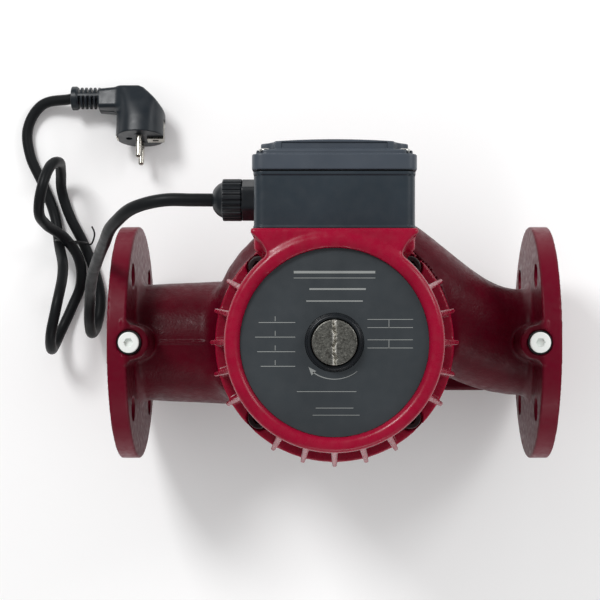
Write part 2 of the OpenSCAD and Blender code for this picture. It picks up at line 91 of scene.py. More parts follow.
class Nodes:
    """Builds one Principled material from procedural nodes in object coordinates, in metres."""

    def __init__(self, name, colour, roughness, metallic=0.0, coat=0.0, specular=0.5):
        self.material = bpy.data.materials.new(name)
        self.material.use_nodes = True
        self.tree = self.material.node_tree
        self.shader = self.tree.nodes["Principled BSDF"]
        self.colour = colour
        self.roughness = roughness
        self.shader.inputs["Base Color"].default_value = (*colour, 1)
        self.shader.inputs["Roughness"].default_value = roughness
        self.shader.inputs["Metallic"].default_value = metallic
        self.shader.inputs["Coat Weight"].default_value = coat
        self.shader.inputs["Coat Roughness"].default_value = 0.2
        self.shader.inputs["Specular IOR Level"].default_value = specular
        self.place = self.tree.nodes.new("ShaderNodeTexCoord").outputs["Object"]
        self.height = None

    def noise(self, size_mm, detail=3, stretch=(1, 1, 1)):
        """Noise whose features are about size_mm across."""
        mapping = self.tree.nodes.new("ShaderNodeMapping")
        mapping.inputs["Scale"].default_value = [s / (size_mm * MM) for s in stretch]
        self.tree.links.new(self.place, mapping.inputs["Vector"])
        node = self.tree.nodes.new("ShaderNodeTexNoise")
        node.inputs["Scale"].default_value = 1
        node.inputs["Detail"].default_value = detail
        self.tree.links.new(mapping.outputs["Vector"], node.inputs["Vector"])
        return node.outputs["Fac"]

    def remap(self, value, low, high, to_low, to_high):
        node = self.tree.nodes.new("ShaderNodeMapRange")
        for socket, number in zip((1, 2, 3, 4), (low, high, to_low, to_high)):
            node.inputs[socket].default_value = number
        self.tree.links.new(value, node.inputs[0])
        return node.outputs[0]

    def distance_from_plane(self, axis):
        """How far a point is from the plane through the origin across X, Y or Z, in metres."""
        apart = self.tree.nodes.new("ShaderNodeSeparateXYZ")
        self.tree.links.new(self.place, apart.inputs[0])
        size = self.tree.nodes.new("ShaderNodeMath")
        size.operation = "ABSOLUTE"
        self.tree.links.new(apart.outputs[axis], size.inputs[0])
        return size.outputs[0]

    def product(self, a, b):
        node = self.tree.nodes.new("ShaderNodeMath")
        node.operation = "MULTIPLY"
        self.tree.links.new(a, node.inputs[0])
        self.tree.links.new(b, node.inputs[1])
        return node.outputs[0]

    def tint(self, value, other):
        """Mixes the base colour towards another where value is high."""
        node = self.tree.nodes.new("ShaderNodeMix")
        node.data_type = "RGBA"
        self.tree.links.new(value, node.inputs[0])
        base = self.shader.inputs["Base Color"]
        if base.is_linked:
            self.tree.links.new(base.links[0].from_socket, node.inputs[6])
        else:
            node.inputs[6].default_value = (*self.colour, 1)
        node.inputs[7].default_value = (*other, 1)
        self.tree.links.new(node.outputs[2], base)
        return self

    def vary_roughness(self, value, low, high):
        self.tree.links.new(self.remap(value, 0.3, 0.7, low, high), self.shader.inputs["Roughness"])
        return self

    def bump(self, value, depth_mm, strength=1.0):
        node = self.tree.nodes.new("ShaderNodeBump")
        node.inputs["Strength"].default_value = strength
        node.inputs["Distance"].default_value = depth_mm * MM
        self.tree.links.new(value, node.inputs["Height"])
        if self.shader.inputs["Normal"].is_linked:
            self.tree.links.new(self.shader.inputs["Normal"].links[0].from_socket, node.inputs["Normal"])
        self.tree.links.new(node.outputs["Normal"], self.shader.inputs["Normal"])
        return self


def enamel(name, colour, dark, grain_mm, grain_depth, roughness, shine=0.3, flange_sheen=None):
    """Red enamel over a cast surface: grain from the casting, with thin spots and dull patches.

    The last argument is a lighter red, painted sheen on the flanges for the light their smoother paint catches; the
    flanges are machined smooth before they are painted, so their grain is weakened.
    """
    n = Nodes(name, colour, roughness, specular=shine)
    n.tint(n.remap(n.noise(26, 2), 0.35, 0.75, 0.0, 0.55), dark)
    n.tint(n.remap(n.noise(0.9, 2), 0.62, 0.8, 0.0, 0.35), tuple(min(1, c * 1.9 + 0.004) for c in colour))
    n.vary_roughness(n.noise(5, 3), roughness - 0.08, roughness + 0.12)
    fine, coarse = n.noise(grain_mm, 3), n.noise(grain_mm * 7, 2)
    if flange_sheen:
        away = n.distance_from_plane("X")
        # painted sheen: the flanges are tinted a lighter red for the light they catch
        n.tint(n.remap(away, 0.153, 0.157, 0, 1), flange_sheen)
        rough_area = n.remap(away, 0.148, 0.154, 1, 0.08)
        fine, coarse = n.product(fine, rough_area), n.product(coarse, rough_area)
    n.bump(fine, grain_depth)
    n.bump(coarse, grain_depth * 2.5)
    return n.material


def plastic(name, colour, roughness, grain_mm=0.5, grain_depth=0.02, shine=0.4):
    """Moulded plastic: a fine spark-eroded grain and slightly uneven gloss."""
    n = Nodes(name, colour, roughness, specular=shine)
    n.tint(n.remap(n.noise(30, 2), 0.3, 0.8, 0.0, 0.35), tuple(min(1, c * 1.5 + 0.004) for c in colour))
    n.vary_roughness(n.noise(8, 3), roughness - 0.06, roughness + 0.08)
    n.bump(n.noise(grain_mm, 2), grain_depth)
    return n.material


def metal(name, colour, roughness, brush=(1, 1, 1), grain_mm=0.4, grain_depth=0.015):
    """Machined or plated metal: fine tool marks, stretched along brush."""
    n = Nodes(name, colour, roughness, metallic=1.0)
    n.tint(n.remap(n.noise(6, 4), 0.4, 0.8, 0.0, 0.4), tuple(c * 0.72 for c in colour))
    n.vary_roughness(n.noise(1.5, 3, brush), roughness - 0.07, roughness + 0.12)
    n.bump(n.noise(grain_mm, 2, brush), grain_depth)
    return n.material


def pitted_metal():
    """The vent screw's head: turned brass plate with corroded pits and bright flecks, and a painted highlight along
    the slot.
    """
    n = Nodes("vent_metal", (0.20, 0.20, 0.18), 0.38, metallic=0.9)
    n.tint(n.remap(n.noise(0.7, 4), 0.55, 0.75, 0.0, 0.8), (0.55, 0.53, 0.48))
    n.tint(n.remap(n.noise(2.6, 4), 0.52, 0.70, 0.0, 0.8), (0.10, 0.095, 0.085))
    n.vary_roughness(n.noise(1.2, 3), 0.3, 0.65)
    n.bump(n.noise(0.8, 4), 0.12)
    n.bump(n.noise(3.0, 3), 0.18)
    # painted highlight: a pale band along the slot, for the light its sides catch
    n.tint(n.remap(n.distance_from_plane("X"), 0.0006, 0.0018, 0.85, 0.0), (0.92, 0.90, 0.84))
    return n.material


def winding():
    """Varnished copper wire: fine rings round the shaft axis."""
    n = Nodes("copper_winding", (0.45, 0.16, 0.06), 0.35, metallic=0.8)
    n.tint(n.remap(n.noise(3, 3), 0.4, 0.7, 0.0, 0.7), (0.18, 0.06, 0.03))
    n.bump(n.noise(0.9, 1, (1, 1, 6)), 0.3)
    return n.material


MAT = {
    "red_enamel": enamel("red_enamel", (0.275, 0.0015, 0.023), (0.19, 0.0010, 0.015), 0.9, 0.03, 0.27, shine=0.28),
    "cast_enamel": enamel("cast_enamel", (0.086, 0.0006, 0.008), (0.040, 0.0002, 0.004), 1.5, 0.20, 0.36,
                          shine=0.14, flange_sheen=(0.128, 0.0014, 0.013)),
    "zinc_plug": metal("zinc_plug", (0.93, 0.94, 0.90), 0.28, grain_mm=0.3),
    "bright_zinc": plastic("bright_zinc", (0.82, 0.86, 0.83), 0.3, 0.3, 0.01),
    # painted shade: the motor bolts are coloured a reddish near-black for the shade deep in their pockets
    "bolt_painted_shade": plastic("bolt_painted_shade", (0.012, 0.004, 0.005), 0.45),
    "black_rubber": plastic("black_rubber", (0.012, 0.012, 0.013), 0.7, 0.6, 0.03),
    "bronze": metal("bronze", (0.52, 0.34, 0.13), 0.34),
    "stainless": metal("stainless", (0.60, 0.60, 0.58), 0.30),
    "carbon": plastic("carbon", (0.02, 0.02, 0.022), 0.5),
    "lamination": metal("lamination", (0.20, 0.21, 0.22), 0.5, (1, 1, 8), 0.5, 0.06),
    "copper_winding": winding(),
    "aluminium": metal("aluminium", (0.70, 0.70, 0.72), 0.4),
    "ceramic": plastic("ceramic", (0.75, 0.73, 0.68), 0.2, 0.3, 0.004),
    "label": plastic("label", (0.030, 0.036, 0.041), 0.42, 0.35, 0.008),
    "print": plastic("print", (0.22, 0.23, 0.225), 0.5, 0.35, 0.005),
    "black_plastic": plastic("black_plastic", (0.0085, 0.011, 0.014), 0.36, 0.5, 0.02),
    "vent_metal": pitted_metal(),
    "slate_plastic": plastic("slate_plastic", (0.022, 0.031, 0.040), 0.34, 0.45, 0.018),
    "lid_plastic": plastic("lid_plastic", (0.047, 0.058, 0.074), 0.36, 0.45, 0.018),
    "cream_plastic": plastic("cream_plastic", (0.70, 0.67, 0.58), 0.4),
    "brown_wire": plastic("brown_wire", (0.13, 0.04, 0.015), 0.35),
    "blue_wire": plastic("blue_wire", (0.02, 0.08, 0.40), 0.35),
    "green_wire": plastic("green_wire", (0.14, 0.38, 0.02), 0.35),
    "pale_wire": plastic("pale_wire", (0.70, 0.68, 0.60), 0.35),
    "cord_rubber": plastic("cord_rubber", (0.0085, 0.0095, 0.0105), 0.42, 0.8, 0.03, 0.12),
    "tie_plastic": plastic("tie_plastic", (0.01, 0.01, 0.011), 0.4),
    "plug_plastic": plastic("plug_plastic", (0.0125, 0.017, 0.022), 0.34, 0.5, 0.02),
    "nickel": metal("nickel", (0.50, 0.48, 0.43), 0.22, (1, 1, 1), 0.3, 0.008),
}

for part in frame["record"]["subparts"]:
    node = frame["nodes"][part["node"]]
    node.data.materials.clear()
    node.data.materials.append(MAT[part["material_slot"]])

# ---------------------------------------------------------------- solid shapes as distance fields
# A field takes points (n, 3) in millimetres and gives the signed distance, negative inside.


def smooth_min(a, b, k):
    h = np.clip(0.5 + 0.5 * (b - a) / k, 0, 1)
    return b * (1 - h) + a * h - k * h * (1 - h)


def smooth_max(a, b, k):
    return -smooth_min(-a, -b, k)


def rounded_pair(a, b, r):
    """The corner where two half spaces meet, with its outside edge rounded to r."""
    a, b = a + r, b + r
    return np.minimum(np.maximum(a, b), 0) + np.hypot(np.maximum(a, 0), np.maximum(b, 0)) - r


def cylinder(p, axis, centre, radius, low, high, edge=0.4):
    """A round bar along one axis; centre holds the other two coordinates."""
    others = [i for i in range(3) if i != axis]
    radial = np.hypot(p[:, others[0]] - centre[0], p[:, others[1]] - centre[1]) - radius
    along = np.abs(p[:, axis] - (low + high) / 2) - (high - low) / 2
    return rounded_pair(radial, along, edge)


def block(p, low, high, edge=0.5):
    """A box with rounded edges."""
    low, high = np.array(low, float), np.array(high, float)
    q = np.abs(p - (low + high) / 2) - (high - low) / 2 + edge
    return np.minimum(q.max(1), 0) + np.linalg.norm(np.maximum(q, 0), axis=1) - edge


def plate(p, axes, half, corner, low, high, edge):
    """A plate with rounded corners in two axes, between low and high along the third."""
    a, b, c = axes
    qa = np.abs(p[:, a]) - half[0] + corner
    qb = np.abs(p[:, b]) - half[1] + corner
    flat = np.minimum(np.maximum(qa, qb), 0) + np.hypot(np.maximum(qa, 0), np.maximum(qb, 0)) - corner
    return rounded_pair(flat, np.abs(p[:, c] - (low + high) / 2) - (high - low) / 2, edge)


def hexagon(x, y, across):
    """Signed distance to a hexagon by its width across flats."""
    x, y = np.abs(x), np.abs(y)
    return np.maximum(y, x * 0.8660254 + y * 0.5) - across / 2


def tube(p, path, radii):
    """A round tube of varying radius along a polyline."""
    best = np.full(len(p), 1e9)
    for a, b, ra, rb in zip(path[:-1], path[1:], radii[:-1], radii[1:]):
        v = b - a
        t = np.clip(((p - a) @ v) / (v @ v), 0, 1)
        d = np.linalg.norm(p - a - t[:, None] * v, axis=1) - (ra + (rb - ra) * t)
        best = np.minimum(best, d)
    return best


def surface_nets(values, origin, step):
    """Vertices and quads of the zero surface of a grid of values."""
    inside = values < 0
    cells = tuple(n - 1 for n in values.shape)
    total = np.zeros(cells + (3,))
    count = np.zeros(cells)
    corner = [(i, j, k) for i in (0, 1) for j in (0, 1) for k in (0, 1)]

    def view(array, offset):
        return array[tuple(slice(o, o + n) for o, n in zip(offset, cells))]

    for axis in range(3):
        for start in corner:
            if start[axis]:
                continue
            end = tuple(o + (i == axis) for i, o in enumerate(start))
            a, b = view(values, start), view(values, end)
            cut = view(inside, start) != view(inside, end)
            t = np.where(cut, a / np.where(cut, a - b, 1), 0)
            for i in range(3):
                total[..., i] += np.where(cut, start[i] + (t if i == axis else 0), 0)
            count += cut
    used = count > 0
    index = np.full(cells, -1)
    index[used] = np.arange(used.sum())
    points = np.argwhere(used) + total[used] / count[used][:, None]
    quads = []
    for axis in range(3):
        b, c = [(1, 2), (2, 0), (0, 1)][axis]
        first = [slice(1, n) for n in cells]
        first[axis] = slice(0, cells[axis])
        start = inside[tuple(slice(s.start, s.stop) for s in first)]
        shifted = [slice(s.start, s.stop) for s in first]
        shifted[axis] = slice(1, cells[axis] + 1)
        end = inside[tuple(shifted)]
        at = np.argwhere(start != end) + [s.start for s in first]
        into = start[tuple((at - [s.start for s in first]).T)]
        step_b, step_c = np.eye(3, dtype=int)[b], np.eye(3, dtype=int)[c]
        ring = np.stack([index[tuple((at - d).T)] for d in (0 * step_b, step_b, step_b + step_c, step_c)], 1)
        ring[~into] = ring[~into][:, ::-1]
        quads.append(ring)
    quads = np.concatenate(quads)
    quads = quads[(quads >= 0).all(1)]
    return origin + points * step, quads


def gradient(field, p, h):
    g = np.empty_like(p)
    for i in range(3):
        d = np.zeros(3)
        d[i] = h
        g[:, i] = field(p + d) - field(p - d)
    return g / (2 * h)


def skin(name, field, low, high, step, material, body, replaced=()):
    """Makes the object whose surface is the zero of field, inside the box from low to high."""
    low, high = np.array(low, float), np.array(high, float)
    n = np.ceil((high - low) / step).astype(int) + 1
    axes = [low[i] + step * np.arange(n[i]) for i in range(3)]
    values = np.empty(tuple(n), np.float64)
    for i, x in enumerate(axes[0]):
        yy, zz = np.meshgrid(axes[1], axes[2], indexing="ij")
        values[i] = field(np.stack([np.full(yy.size, x), yy.ravel(), zz.ravel()], 1)).reshape(yy.shape)
    points, quads = surface_nets(values, low, step)
    for _ in range(3):
        g = gradient(field, points, step * 0.2)
        size = np.maximum((g * g).sum(1), 0.05)
        move = -(field(points) / size)[:, None] * g
        length = np.linalg.norm(move, axis=1, keepdims=True)
        points = points + move * np.minimum(1, step * 0.5 / np.maximum(length, 1e-9))
    g = gradient(field, points, step * 0.25)
    normals = g / np.maximum(np.linalg.norm(g, axis=1, keepdims=True), 1e-9)
    mesh = bpy.data.meshes.new(name)
    mesh.from_pydata((points * MM).tolist(), [], quads.tolist())
    mesh.polygons.foreach_set("use_smooth", np.ones(len(mesh.polygons), bool))
    mesh.update()
    mesh.normals_split_custom_set_from_vertices(normals.tolist())
    return add(name, mesh, material, body, replaced)


def add(name, data, material, body, replaced=()):
    piece = bpy.data.objects.new(name, data)
    bpy.context.scene.collection.objects.link(piece)
    data.materials.append(MAT[material])
    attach(piece, body)
    if replaced:
        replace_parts(piece, *replaced)
    return piece


# ---------------------------------------------------------------- cord
# The route's points are the CAD model's, in millimetres.

CORD_D = 9.0
cord_route = [
    (-77, 97, 284.5), (-96, 97, 286), (-116, 97, 285), (-137, 93, 276), (-154, 84, 254),
    (-168, 72.5, 211), (-181.4, 61.2, 160), (-192.9, 49.3, 112), (-200.3, 34.8, 74), (-203.6, 18.1, 56),
    (-205, 8, 34), (-203.5, 17, 12), (-202, 38, 5.5), (-206, 58, 5), (-217, 86, 5),
    (-229, 110, 5), (-235, 130, 8), (-233, 145, 24), (-231, 151, 45), (-235, 145, 64),
    (-240, 127, 72), (-244, 108, 64), (-242, 99, 43), (-229, 88, 21.5), (-220, 72, 11),
    (-219, 52, 5), (-227, 30, 5), (-235, 11, 9), (-239, -3, 22), (-238, -4.5, 42),
    (-235.5, 7, 56.5), (-230.5, 28, 61), (-228.5, 60, 40), (-237, 86, 11), (-241, 107, 5),
    (-252, 137, 5), (-263, 162, 5), (-265, 184, 5), (-254, 203, 8), (-224, 208.7, 17.5),
]


def smooth_curve(name, points, radius, material, body, replaced=(), sides=6):
    """A round cord through the points: Bezier handles along each point's mean direction."""
    p = np.array(points, float)
    gaps = np.linalg.norm(np.diff(p, axis=0), axis=1)
    way = np.empty_like(p)
    for i in range(1, len(p) - 1):
        before, after = (p[i] - p[i - 1]) / gaps[i - 1], (p[i + 1] - p[i]) / gaps[i]
        way[i] = before * gaps[i] + after * gaps[i - 1]
    way[0], way[-1] = p[1] - p[0], p[-1] - p[-2]
    way /= np.linalg.norm(way, axis=1, keepdims=True)
    curve = bpy.data.curves.new(name, "CURVE")
    curve.dimensions = "3D"
    curve.bevel_depth = radius * MM
    curve.bevel_resolution = sides
    curve.resolution_u = 14
    curve.use_fill_caps = True
    spline = curve.splines.new("BEZIER")
    spline.bezier_points.add(len(p) - 1)
    for i, knot in enumerate(spline.bezier_points):
        back = gaps[max(i - 1, 0)] / 2.95
        ahead = gaps[min(i, len(gaps) - 1)] / 2.95
        knot.handle_left_type = knot.handle_right_type = "FREE"
        knot.co = p[i] * MM
        knot.handle_left = (p[i] - way[i] * back) * MM
        knot.handle_right = (p[i] + way[i] * ahead) * MM
    return add(name, curve, material, body, replaced)


power_cord = smooth_curve("mains_cord", cord_route, CORD_D / 2, "cord_rubber", "pump", ["power_cord"])

# ---------------------------------------------------------------- pump housing casting

DRUM_R = 90.0
RIM_Z = 68.0
FLANGE_R = 92.5
FLANGE_X = 170.0
FLANGE_IN = 155.0
BORE_R = 32.5
GAUGE_X = 153.0
GAUGE_SEAT = 90.0
TONGUE, SWEEP = -35.0, 273.0


def spiral_path():
    """Centres and outside radii along the spiral, then along the bend into the outlet."""
    points, radii = [], []
    for f in np.linspace(0, 1, 34):
        angle = math.radians(TONGUE - SWEEP * f)
        middle = 62 + 9.3 * f
        points.append((middle * math.cos(angle), middle * math.sin(angle), 34))
        radii.append(66 + 45 * f ** 0.62 - middle)
    start = np.array(points[-1])
    angle = math.radians(TONGUE - SWEEP)
    ahead = start + 45 * np.array((math.sin(angle), -math.cos(angle), 0))
    for t in np.linspace(0, 1, 14)[1:]:
        u = 1 - t
        points.append(u ** 3 * start + 3 * u * u * t * ahead
                      + 3 * u * t * t * np.array((106, 0, 0)) + t ** 3 * np.array((154, 0, 0)))
        radii.append(39.7 + 2.8 * t)
    return [np.array(q, float) for q in points], radii


SPIRAL, SPIRAL_R = spiral_path()
MOTOR_BOLTS = [(80 * math.cos(math.radians(a)), 80 * math.sin(math.radians(a))) for a in (45, 135, 225, 315)]


def pump_casting(p):
    p = p - np.array((0, 0, AXIS_H))
    x, y, z = p.T
    drum = cylinder(p, 2, (0, 0), DRUM_R, 5, RIM_Z, 4)
    spiral = tube(p, SPIRAL, SPIRAL_R)
    body = smooth_min(drum, spiral, 9)
    neck_r = 46 + 3.8 * np.clip((x + FLANGE_IN) / 80, 0, 1)
    neck = np.maximum(np.hypot(y, z) - neck_r, np.maximum(x, -x - FLANGE_IN - 4))
    neck = smooth_min(neck, np.linalg.norm(p, axis=1) - 49, 4)
    dip = tube(p, [np.array(q, float) for q in ((-128, 0, 0), (-92, 0, -26), (0, 0, -28))], [36, 36, 40])
    body = smooth_min(body, smooth_min(neck, dip, 14), 10)
    ridge = np.maximum(np.abs(y) - 0.9, np.maximum(np.hypot(y, z) - neck_r - 0.7, np.maximum(-z, x + 84)))
    body = smooth_min(body, ridge, 1.5)
    plate_foot = block(p + np.array((0, 0, AXIS_H)), (-131, -41, 0), (131, 41, 14), 3)
    web = block(p + np.array((0, 0, AXIS_H)), (-131, -8, 6), (131, 8, 75), 3)
    foot = smooth_min(plate_foot, web, 8)
    for side in (-1, 1):
        foot = smooth_min(foot, cylinder(p, 2, (side * 100, 0), 13, -AXIS_H + 4, -AXIS_H + 32, 2), 5)
    body = smooth_min(body, foot, 7)
    for side in (-1, 1):
        flange = cylinder(p, 0, (0, 0), FLANGE_R, *sorted((side * FLANGE_IN, side * FLANGE_X)), 1.4)
        body = smooth_min(body, flange, 8)
        u = side * x
        boss = np.where(u < 151.5, np.hypot(151.5 - u, y) - 13, np.abs(y) - 13 - 3.5 * np.clip((u - 151.5) / 4, 0, 1))
        boss = rounded_pair(boss, np.maximum(np.abs(z - 61) - 30.4, u - 158), 1.4)
        body = smooth_min(body, boss, 3)
    # the motor's seat, then everything that is drilled or cored
    cuts = [rounded_pair(np.hypot(x, y) - DRUM_R - 1.2, np.abs(z - RIM_Z - 15) - 15, 0.5)]
    for side in (-1, 1):
        cuts.append(cylinder(p, 2, (side * GAUGE_X, 0), 9.6, GAUGE_SEAT, 110, 0.1))
        cuts.append(cylinder(p, 2, (side * GAUGE_X, 0), 6.5, 30, 110, 0.1))
        cuts.append(cylinder(p, 2, (side * 100, 0), 5, -AXIS_H - 5, -AXIS_H + 20, 0.1))
        for a in (45, 135, 225, 315):
            at = (72.5 * math.cos(math.radians(a)), 72.5 * math.sin(math.radians(a)))
            cuts.append(cylinder(p, 0, at, 9, *sorted((side * 140, side * 175)), 0.1))
        cuts.append(cylinder(p, 0, (0, 0), BORE_R, *sorted((side * 124, side * 175)), 0.1))
    for cx, cy in MOTOR_BOLTS:
        cuts.append(cylinder(p, 2, (cx, cy), 5, 50, 80, 0.1))
    passage = smooth_min(np.linalg.norm(p - np.array((-132, 0, 0)), axis=1) - 33.5,
                         tube(p, [np.array(q, float) for q in ((-132, 0, 0), (-92, 0, -26), (0, 0, -28))],
                              [27, 26, 26]), 6)
    passage = np.minimum(passage, cylinder(p, 2, (0, 0), 27, -28, 15, 0.1))
    outlet = tube(p, SPIRAL[-13:], [r - 10 for r in SPIRAL_R[-13:]])
    chamber = cylinder(p, 2, (0, 0), 62.5, 20, 90, 1)
    seat = cylinder(p, 2, (0, 0), 70, 62, 90, 0.1)
    for cut in cuts + [passage, outlet, chamber, seat]:
        body = smooth_max(body, -cut, 0.8)
    return smooth_max(body, np.abs(x) - FLANGE_X, 0.8)


skin("pump_casting", pump_casting, (-172, -96, -2), (172, 116, 192), 2.0, "cast_enamel", "pump",
     ["pump_housing"])

# ---------------------------------------------------------------- motor housing casting

MOTOR_R = 68.0
FRONT_Z = 254.0
RING_R = 70.5
LABEL_R = 60.5
FIN_ANGLES = [c + 15 * k for c in (0, 180, 270) for k in (-2, -1, 0, 1, 2)]


def motor_casting(p):
    p = p - np.array((0, 0, AXIS_H))
    x, y, z = p.T
    radial = np.hypot(x, y)
    shell = cylinder(p, 2, (0, 0), MOTOR_R, 70, FRONT_Z, 2)
    base = cylinder(p, 2, (0, 0), DRUM_R, RIM_Z, 80, 1.5)
    angle = np.degrees(np.arctan2(y, x)) % 360
    fins = np.full(len(p), 1e3)
    reach = np.where(z < 137, 89.0, 89.0 - (z - 137) * (89.0 - RING_R + 1.0) / 109)
    for a in FIN_ANGLES:
        away = (angle - a + 180) % 360 - 180
        near = np.abs(away) < 12
        u = radial[near] * np.cos(np.radians(away[near]))
        v = radial[near] * np.sin(np.radians(away[near]))
        thick = np.clip(2.3 - (u - MOTOR_R) * 0.035, 1.4, 2.3)
        outline = smooth_max(u - reach[near], z[near] - 247, 3)
        fin = rounded_pair(np.abs(v) - thick, np.maximum(outline, 62 - u), 1.2)
        fins[near] = np.minimum(fins[near], np.maximum(fin, 76 - z[near]))
    ring_mid = (RING_R + LABEL_R) / 2
    half = (RING_R - LABEL_R) / 2
    ring = rounded_pair(np.abs(radial - ring_mid) - half, np.abs(z - (FRONT_Z - 4)) - 9.5, 4.6)
    t = np.clip((y - 50) / 20.0, 0, 1)
    width = 42 + 2 * t + 9.5 * t ** 2.6
    saddle = smooth_max(np.abs(x) - width, np.maximum(y - 73, 30 - y), 1.5)
    saddle = smooth_max(saddle * 0.93, np.abs(z - (130 + FRONT_Z + 3.5) / 2) - (FRONT_Z + 3.5 - 130) / 2, 3)
    body = smooth_min(smooth_min(shell, base, 5), fins, 3.5)
    body = smooth_min(body, saddle, 3)
    body = smooth_min(body, block(p, (-52.3, 58, 130), (52.3, 73, 240), 4), 3)
    body = smooth_min(body, ring, 2.5)
    cuts = [
        cylinder(p, 2, (0, 0), 62, 69.3, FRONT_Z - 7, 1),
        cylinder(p, 2, (0, 0), 70.5, 60, 69.3, 0.1),
        cylinder(p, 2, (0, 0), LABEL_R, FRONT_Z, 300, 0.1),
        cylinder(p, 2, (0, 0), 19, FRONT_Z - 12, FRONT_Z + 3, 0.1),
        cylinder(p, 1, (0, 216), 8, 40, 90, 0.2),
    ]
    for cx, cy in MOTOR_BOLTS:
        cuts.append(cylinder(p, 2, (cx, cy), 9.5, 76, 92, 0.3))
        cuts.append(cylinder(p, 2, (cx, cy), 5.5, 60, 80, 0.1))
    for cut in cuts:
        body = smooth_max(body, -cut, 0.6)
    return body


skin("motor_casting", motor_casting, (-93, -93, 163), (93, 76, 364), 1.45, "red_enamel", "pump",
     ["motor_housing"])

# ---------------------------------------------------------------- machined and moulded pieces


def gauge_plug(side):
    def field(p):
        p = p - np.array((side * GAUGE_X, 0, AXIS_H))
        head = cylinder(p, 2, (0, 0), 7.75, 91.5, 95, 0.8)
        thread = cylinder(p, 2, (0, 0), 6.4, 72, 92, 0.4)
        socket = np.maximum(hexagon(p[:, 0], p[:, 1], 6), 92 - p[:, 2])
        return smooth_max(smooth_min(head, thread, 0.4), -socket, 0.4)
    low = (side * GAUGE_X - 9, -9, AXIS_H + 71)
    high = (side * GAUGE_X + 9, 9, AXIS_H + 96)
    return skin(f"gauge_plug_{'left' if side < 0 else 'right'}", field, low, high, 0.4, "bright_zinc", "pump")


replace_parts(gauge_plug(-1), "gauge_plugs")
gauge_plug(1)


def motor_bolt(index, cx, cy):
    def field(p):
        p = p - np.array((cx, cy, AXIS_H))
        head = cylinder(p, 2, (0, 0), 8, 76, 86, 1.0)
        shank = cylinder(p, 2, (0, 0), 5, 53, 80, 0.5)
        socket = np.maximum(hexagon(p[:, 0], p[:, 1], 8), 80 - p[:, 2])
        return smooth_max(np.minimum(head, shank), -socket, 0.5)
    low, high = (cx - 9, cy - 9, AXIS_H + 52), (cx + 9, cy + 9, AXIS_H + 87)
    # the bolts' near-black colour is painted shade of their pockets
    return skin(f"motor_bolt_{index}", field, low, high, 0.6, "bolt_painted_shade", "pump")


for index, (cx, cy) in enumerate(MOTOR_BOLTS):
    bolt = motor_bolt(index, cx, cy)
    if index == 0:
        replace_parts(bolt, "motor_bolts")


def vent_screw(p):
    p = p - np.array((0, 0, AXIS_H))
    x, y, z = p.T
    head = cylinder(p, 2, (0, 0), 14.5, 251.5, 262.6, 0.9)
    stem = cylinder(p, 2, (0, 0), 8, 234.2, 253, 0.5)
    middle = 0.55 * np.sin(y * 0.42) + 0.25 * np.sin(y * 1.3 + 1)
    half = 1.0 + 0.35 * np.sin(y * 0.75 + 2) + 0.18 * np.sin(y * 2.3)
    slot = np.maximum(np.abs(x - middle) - half - (z - 262.6) * 0.35, 259.4 - z)
    return smooth_max(smooth_min(head, stem, 0.5), -slot, 0.5)


skin("vent_screw_head", vent_screw, (-15.5, -15.5, 330), (15.5, 15.5, 361), 0.42, "vent_metal", "vent_screw",
     ["vent_plug"])


def vent_collar(p):
    p = p - np.array((0, 0, AXIS_H))
    ring = cylinder(p, 2, (0, 0), 17.6, 250, 257, 1.2)
    ring = smooth_min(ring, cylinder(p, 2, (0, 0), 18.8, 244, 255, 0.3), 0.4)
    ring = smooth_max(ring, -cylinder(p, 2, (0, 0), 15.2, 250, 270, 0.2), 0.5)
    return smooth_max(ring, -cylinder(p, 2, (0, 0), 8.6, 230, 251, 0.2), 0.3)


skin("vent_collar", vent_collar, (-20, -20, 340), (20, 20, 355), 0.5, "black_plastic", "pump", ["vent_bush"])

# ---------------------------------------------------------------- terminal box

BOX_Z = AXIS_H + 187.5
BOX_HALF = 52.5


def corners(p, offset):
    """Distance from the nearest of the four axes parallel to Y, at +-offset from the box's middle."""
    return np.hypot(np.abs(p[:, 0]) - offset, np.abs(p[:, 2]) - offset)


def terminal_box(p):
    p = p - np.array((0, 0, BOX_Z))
    outer = plate(p, (0, 2, 1), (BOX_HALF, BOX_HALF), 7, 74, 111, 0.6)
    rim = plate(p, (0, 2, 1), (BOX_HALF + 0.35, BOX_HALF + 0.35), 7, 108.6, 111, 0.3)
    foot_line = plate(p, (0, 2, 1), (BOX_HALF + 0.5, BOX_HALF + 0.5), 7, 74, 75.6, 0.4)
    outer = np.minimum(np.minimum(outer, rim), foot_line)
    inner = plate(p, (0, 2, 1), (BOX_HALF - 3, BOX_HALF - 3), 5, 77, 120, 1)
    post = np.maximum(corners(p, 45.5) - 5.5, np.maximum(p[:, 1] - 111, 75 - p[:, 1]))
    hollow = smooth_max(inner, -post, 1)
    body = smooth_max(outer, -hollow, 0.4)
    body = smooth_max(body, -np.maximum(corners(p, 45.5) - 2, 90 - p[:, 1]), 0.2)
    entry = np.hypot(p[:, 1] - 97, p[:, 2]) - 10
    body = smooth_max(body, -np.maximum(entry, p[:, 0] + 45), 0.2)
    wires = np.hypot(p[:, 0], p[:, 2] - 28.5) - 8
    screws = np.hypot(np.abs(p[:, 0]) - 34, np.abs(p[:, 2]) - 40) - 2.4
    return smooth_max(body, -np.maximum(np.minimum(wires, screws), p[:, 1] - 85), 0.2)


skin("terminal_box", terminal_box, (-55, 72, BOX_Z - 55), (55, 113, BOX_Z + 55), 0.95, "slate_plastic", "pump",
     ["box_base"])


